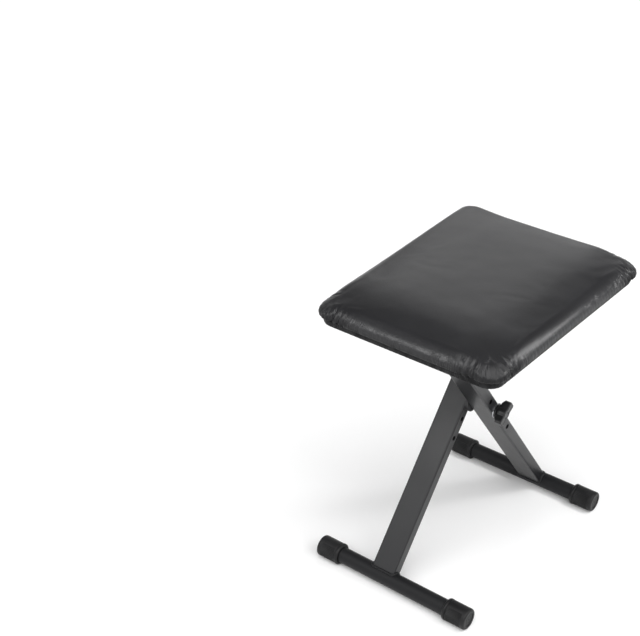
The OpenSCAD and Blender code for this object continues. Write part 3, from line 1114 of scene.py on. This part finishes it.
    def build(self, wardrobe: Wardrobe) -> bpy.types.Object:
        """Makes the seat, dresses it and puts it on its body.

        Args:
            wardrobe: The materials.

        Returns:
            The seat cushion.
        """
        piece = make_piece("seat_cushion", self.blank(), smooth=None)
        self.stuffed(piece)
        divide = piece.modifiers.new("divide", "SUBSURF")
        divide.levels = divide.render_levels = 1
        depsgraph = bpy.context.evaluated_depsgraph_get()
        fine = bpy.data.meshes.new_from_object(piece.evaluated_get(depsgraph))
        piece.modifiers.clear()
        piece.data = fine
        fine.name = "seat_cushion"
        self.close_underside(fine)
        self.finish_rim(piece)
        piece.data.shade_smooth()
        wardrobe.fit(piece, Slot.LEATHERETTE, "seat", "seat_cover", "seat_foam")
        return piece


# ---------------------------------------------------------------- the feet


@dataclass(frozen=True)
class RubberCap:
    """A ribbed rubber cap on one end of a foot tube."""

    node: str
    tube: str
    body: str
    ribs: int = 44
    steps_per_rib: int = 6
    rib_depth: float = 0.8 * MM
    bore_gap: float = 0.05 * MM
    collar_rise: float = 0.4 * MM
    end_thickness: float = 5.0 * MM
    rim: float = 3.0 * MM
    recess: float = 11.0 * MM
    recess_depth: float = 1.2 * MM
    panel_half: float = 34.0

    def rib(self, angle: float, level: Level) -> float:
        """Returns a ribbed level's radius.

        Args:
            angle: Angle about the axis.
            level: The level.
        """
        turned = math.degrees(angle) % 180.0
        from_panel = abs(turned - 90.0)
        ribbed = smoothstep(self.panel_half - 4.0, self.panel_half + 2.0, from_panel)
        wave = 0.5 - 0.5 * math.cos(angle * self.ribs)
        return level.radius - self.rib_depth * ribbed * wave**0.7

    def build(self, wardrobe: Wardrobe) -> bpy.types.Object:
        """Makes the cap, dresses it and puts it on its body.

        Args:
            wardrobe: The materials.

        Returns:
            The cap.
        """
        low, high = box_of(self.node)
        tube_low, tube_high = box_of(self.tube)
        bore = (tube_high.z - tube_low.z) / 2 + self.bore_gap
        axis = (tube_low + tube_high) / 2
        length = high.x - low.x
        radius = (high.y - low.y) / 2 - self.collar_rise
        facing = 1.0 if low.x + high.x > tube_low.x + tube_high.x else -1.0
        mouth = Vector((low.x if facing > 0 else high.x, axis.y, axis.z))
        collar = radius + self.collar_rise
        round_z = length - self.rim
        disc_z = length - self.recess_depth
        levels = [
            Level(length - self.end_thickness, bore),
            *levels_at(0.0, bore, ((1.0, 0.0), (0.4, 0.25), (0.0, 0.9))),
            *levels_at(0.0, collar, ((0.0, -2.0), (0.25, -1.4), (1.4, -0.35))),
            *levels_at(0.0, collar, ((2.1, 0.0), (5.0, 0.0), (5.4, -0.25))),
            *levels_at(0.0, radius, ((5.7, -0.75), (6.4, -0.75), (6.8, -0.2))),
            *levels_at(0.0, radius, ((7.3, 0.0), (7.9, 0.0))),
            *levels_at(0.0, radius, ((8.6, 0.0),), shaped=True),
            *levels_at(round_z, radius, ((-4.4, 0.0),), shaped=True),
            *levels_at(round_z, radius, ((-3.7, 0.0), (0.0, 0.0))),
            *arc((round_z, radius - self.rim), self.rim, 78.0, 0.0, 6),
            *levels_at(length, self.recess, ((0.0, 0.5), (-0.15, 0.15), (-0.4, 0.0))),
            *levels_at(disc_z, self.recess, ((0.2, -0.1), (0.0, -0.4))),
            *levels_at(disc_z, 0.6 * self.recess, ((0.0, 0.22), (0.25, 0.0))),
            *levels_at(disc_z, 0.5 * self.recess, ((0.25, 0.22), (0.0, 0.0))),
            *levels_at(disc_z, 0.0, ((0.0, 1.7), (-0.5, 1.3))),
        ]
        mesh = bmesh.new()
        Turning(mouth, facing, self.ribs * self.steps_per_rib).build(mesh, levels, self.rib)
        for vert in mesh.verts:
            vert.co.z = max(vert.co.z, low.z)
        piece = make_piece(self.node + "_ribbed", mesh, smooth=38.0)
        return wardrobe.fit(piece, Slot.CAP_RUBBER, self.body, self.node)


@dataclass(frozen=True)
class WeldBead:
    """A rippled bead around a leg's end, where it meets a round tube."""

    leg: str
    tube: str
    other_tube: str
    leg_height: float = 20.0 * MM
    leg_corner: float = 3.0 * MM
    radius: float = 1.9 * MM
    sides: int = 8
    ripple: float = 2.3 * MM
    steps_per_ripple: int = 6
    proud: float = 0.5 * MM

    def rings(self) -> list[list[Vector]]:
        """Returns the bead's rings, in order around the leg."""
        leg_low, leg_high = box_of(self.leg)
        tube_low, tube_high = box_of(self.tube)
        axis = (tube_low + tube_high) / 2
        axis.x = (leg_low.x + leg_high.x) / 2
        away = centre_of(self.other_tube) - axis
        away.x = 0.0
        away.normalize()
        rise = Vector((0.0, -away.z, away.y))
        tube_r = (tube_high.z - tube_low.z) / 2 + self.proud
        outline = RoundedRect(
            (leg_high.x - leg_low.x) / 2 + self.proud,
            self.leg_height / 2 + self.proud,
            self.leg_corner + self.proud,
        )
        ripples = round(outline.length / self.ripple)
        count = ripples * self.steps_per_ripple

        def centre(number: int) -> Vector:
            """Returns the bead's centre line at a step."""
            spot = outline.at(outline.length * number / count)[0]
            depth = math.sqrt(max(tube_r * tube_r - spot.y * spot.y, 0.0))
            return axis + Vector((spot.x, 0.0, 0.0)) + rise * spot.y + away * depth

        rings = []
        for number in range(count):
            here = centre(number)
            ahead = (centre(number + 1) - centre(number - 1)).normalized()
            side = outline.at(outline.length * number / count)[1]
            out = Vector((side.x, 0.0, 0.0)) + rise * side.y
            out = (out - ahead * out.dot(ahead)).normalized()
            up = ahead.cross(out)
            phase = (number % self.steps_per_ripple) / self.steps_per_ripple
            swell = 1.0 + 0.16 * math.sin(math.pi * phase) + 0.12 * wave_noise(number / 9.0, 4.2)
            ring = []
            for k in range(self.sides):
                angle = 2 * math.pi * k / self.sides
                turned = out * math.cos(angle) + up * math.sin(angle)
                ring.append(here + turned * self.radius * swell)
            rings.append(ring)
        return rings


@dataclass(frozen=True)
class LegWelds:
    """Both beads of one leg."""

    node: str
    leg: str
    foot: str
    top: str
    body: str

    def build(self, wardrobe: Wardrobe) -> bpy.types.Object:
        """Makes the beads, dresses them and puts them on their body.

        Args:
            wardrobe: The materials.

        Returns:
            The beads as one piece.
        """
        mesh = bmesh.new()
        for tube, other_tube in ((self.foot, self.top), (self.top, self.foot)):
            loft(mesh, WeldBead(self.leg, tube, other_tube).rings(), closed=True)
        piece = make_piece(self.node + "_beads", mesh, smooth=60.0)
        return wardrobe.fit(piece, Slot.WELD, self.body, self.node)


# ---------------------------------------------------------------- the knob


@dataclass(frozen=True)
class WingKnob:
    """The two-winged knob on the pivot's bolt."""

    bore: float = 4.2 * MM
    hub: float = 11.0 * MM
    reach: float = 19.0 * MM
    shoulder: float = 16.5 * MM
    half_neck: float = 5.5 * MM
    half_wing: float = 7.0 * MM
    foot: float = 3.0 * MM
    waist: float = 8.2 * MM
    flare_z: float = 6.2 * MM
    flare_short: float = 5.0 * MM
    blend_power: float = 14.0
    segments: int = 288

    def wing(self, angle: float, inset: float, along: float) -> float:
        """Returns the outline's radius.

        Args:
            angle: Angle from the wings' own line.
            inset: How far the outline is pulled in.
            along: Distance from the leg along the knob's axis.
        """
        hub = self.waist - inset
        rest = 1.0 - (along - self.foot) / (self.flare_z - self.foot)
        short = self.flare_short * min(max(rest, 0.0), 1.0)
        c, s = abs(math.cos(angle)), abs(math.sin(angle))
        flare = (self.half_wing - self.half_neck) / self.shoulder
        cut = self.shoulder + self.half_wing - math.sqrt(2.0) * inset - short
        sides = [(self.reach - inset - short) / max(c, TINY), cut / (c + s)]
        if s > flare * c:
            sides.append((self.half_neck - inset) / (s - flare * c))
        power = self.blend_power
        return (hub**power + min(sides) ** power) ** (1 / power)

    def build(self, wardrobe: Wardrobe) -> bpy.types.Object:
        """Makes the knob, dresses it and puts it on its body.

        Args:
            wardrobe: The materials.

        Returns:
            The knob's grip.
        """
        low, high = box_of("knob_grip")
        pivot = centre_of("knob_washer")
        along_leg = centre_of("leg_b_top_tube") - centre_of("rear_foot_tube")
        lean = math.atan2(along_leg.y, along_leg.z)
        deep = high.x - low.x

        def radius(angle: float, level: Level) -> float:
            """Returns a wing level's radius; its own radius field holds the pull-in."""
            return self.wing(angle + lean, level.radius, level.along)

        levels = [
            Level(0.0, self.bore),
            *levels_at(0.0, self.hub, ((0.0, -0.6), (0.6, 0.0))),
            *levels_at(self.foot, self.hub, ((-0.4, 0.0),)),
            *levels_at(self.foot, 0.0, ((0.0, 1.0), (0.3, 0.3), (1.0, 0.0)), shaped=True),
            *levels_at(self.flare_z, 0.0, ((0.0, 0.0),), shaped=True),
            *levels_at(deep, 0.0, ((-1.6, 0.0), (-0.7, 0.25), (-0.2, 0.75)), shaped=True),
            *levels_at(deep, 0.0, ((0.0, 1.5), (0.0, 1.9), (-0.35, 2.3)), shaped=True),
        ]
        mesh = bmesh.new()
        Turning(Vector((low.x, pivot.y, pivot.z)), 1.0, self.segments).build(mesh, levels, radius)
        piece = make_piece("knob_wings", mesh, smooth=40.0)
        return wardrobe.fit(piece, Slot.KNOB_PLASTIC, "knob", "knob_grip")


# ---------------------------------------------------------------- the studio


@dataclass(frozen=True)
class Softbox:
    """A soft light: its place, what it faces, its width and height, and its power in watts."""

    name: str
    place: tuple[float, float, float]
    target: tuple[float, float, float]
    size: tuple[float, float]
    power: float

    def build(self) -> None:
        """Makes the light."""
        data = bpy.data.lights.new(self.name, "AREA")
        data.shape = "RECTANGLE"
        data.size, data.size_y = self.size
        data.energy = self.power
        light = bpy.data.objects.new(self.name, data)
        light.location = self.place
        facing = Vector(self.target) - light.location
        light.rotation_euler = facing.to_track_quat("-Z", "Y").to_euler()
        bpy.context.scene.collection.objects.link(light)


SEAT_MIDDLE = (0.0, 0.0, 0.45)
NEAR_CORNER = (0.15, -0.2, 0.45)
SOFTBOXES = (
    Softbox("front", (-1.8, -2.4, 1.6), (0.0, 0.0, 0.3), (1.6, 1.2), 10.0),
    Softbox("near_edge", (-0.38, -0.98, 0.9), SEAT_MIDDLE, (0.4, 0.2), 2.0),
    Softbox("side", (0.54, 0.30, 0.74), NEAR_CORNER, (0.14, 0.14), 1.7),
    Softbox("back", (-1.4, 2.5, 1.75), SEAT_MIDDLE, (1.4, 1.1), 5.8),
)


@dataclass(frozen=True)
class Studio:
    """The camera, the floor and the lights."""

    place: Vector = field(default_factory=lambda: Vector((0.8861, -1.5572, 1.4266)))
    azimuth: float = 39.38
    elevation: float = 29.68
    lens: float = 78.14
    sensor: float = 36.0
    shift: tuple[float, float] = (0.0734, -0.0213)
    floor_size: float = 40.0
    key_strength: float = 3.3
    key_spread: float = 80.0
    key_from: Vector = field(default_factory=lambda: Vector((0.45, -0.35, 1.0)))
    sky_stops: tuple[tuple[float, float], ...] = ((0.04, 1.0), (0.13, 0.38), (0.6, 0.14))

    def camera(self) -> None:
        """Makes the camera."""
        data = bpy.data.cameras.new("camera")
        data.lens = self.lens
        data.sensor_width = self.sensor
        data.shift_x, data.shift_y = self.shift
        data.clip_end = 100.0
        camera = bpy.data.objects.new("camera", data)
        camera.location = self.place
        camera.rotation_euler = (
            math.radians(90.0 - self.elevation),
            0.0,
            math.radians(self.azimuth),
        )
        bpy.context.scene.collection.objects.link(camera)
        bpy.context.scene.camera = camera

    def floor(self) -> None:
        """Makes the pale floor."""
        mesh = bmesh.new()
        bmesh.ops.create_grid(mesh, x_segments=1, y_segments=1, size=self.floor_size / 2)
        piece = make_piece("floor", mesh, smooth=None)
        shader = Shader("floor_paper")
        shade = shader.noise(3.0, 2.0)
        piece.data.materials.append(
            shader.surface(
                Base_Color=shader.mix(shade, (0.94, 0.94, 0.94), (0.96, 0.96, 0.96)),
                Roughness=0.85,
                Specular_IOR_Level=0.2,
            )
        )

    def sun(self) -> None:
        """Makes the soft overhead key light."""
        data = bpy.data.lights.new("key", "SUN")
        data.energy = self.key_strength
        data.angle = math.radians(self.key_spread)
        light = bpy.data.objects.new("key", data)
        light.rotation_euler = self.key_from.to_track_quat("Z", "Y").to_euler()
        bpy.context.scene.collection.objects.link(light)

    def sky(self) -> None:
        """Makes a sky that is brighter at the horizon than overhead."""
        world = bpy.data.worlds.new("studio")
        world.use_nodes = True
        tree = world.node_tree
        place = tree.nodes.new("ShaderNodeTexCoord")
        split = tree.nodes.new("ShaderNodeSeparateXYZ")
        ramp = tree.nodes.new("ShaderNodeValToRGB")
        fill_ramp(ramp.color_ramp, self.sky_stops)
        tree.links.new(place.outputs["Generated"], split.inputs[0])
        tree.links.new(split.outputs["Z"], ramp.inputs[0])
        tree.links.new(ramp.outputs[0], tree.nodes["Background"].inputs["Color"])
        bpy.context.scene.world = world

    def build(self) -> None:
        """Makes the whole studio."""
        self.camera()
        self.floor()
        self.sun()
        for box in SOFTBOXES:
            box.build()
        self.sky()
        bpy.context.scene.view_settings.view_transform = "Standard"


def main() -> None:
    """Builds the bench and its studio."""
    logging.basicConfig(level=logging.INFO, format="%(message)s")
    wardrobe = Wardrobe()
    wardrobe.dress_nodes()
    Studio().build()
    parts = [SeatCushion()]
    for leg, foot, body in (("a", "front", "leg_a"), ("b", "rear", "leg_b")):
        tube = foot + "_foot_tube"
        parts += [RubberCap(f"{foot}_{side}_cap", tube, body) for side in ("left", "right")]
        parts.append(
            LegWelds(f"leg_{leg}_welds", f"leg_{leg}_tube", tube, f"leg_{leg}_top_tube", body)
        )
    parts.append(WingKnob())
    for part in parts:
        piece = part.build(wardrobe)
        LOG.info("%s: %d faces", piece.name, len(piece.data.polygons))


if __name__ == "__main__":
    main()
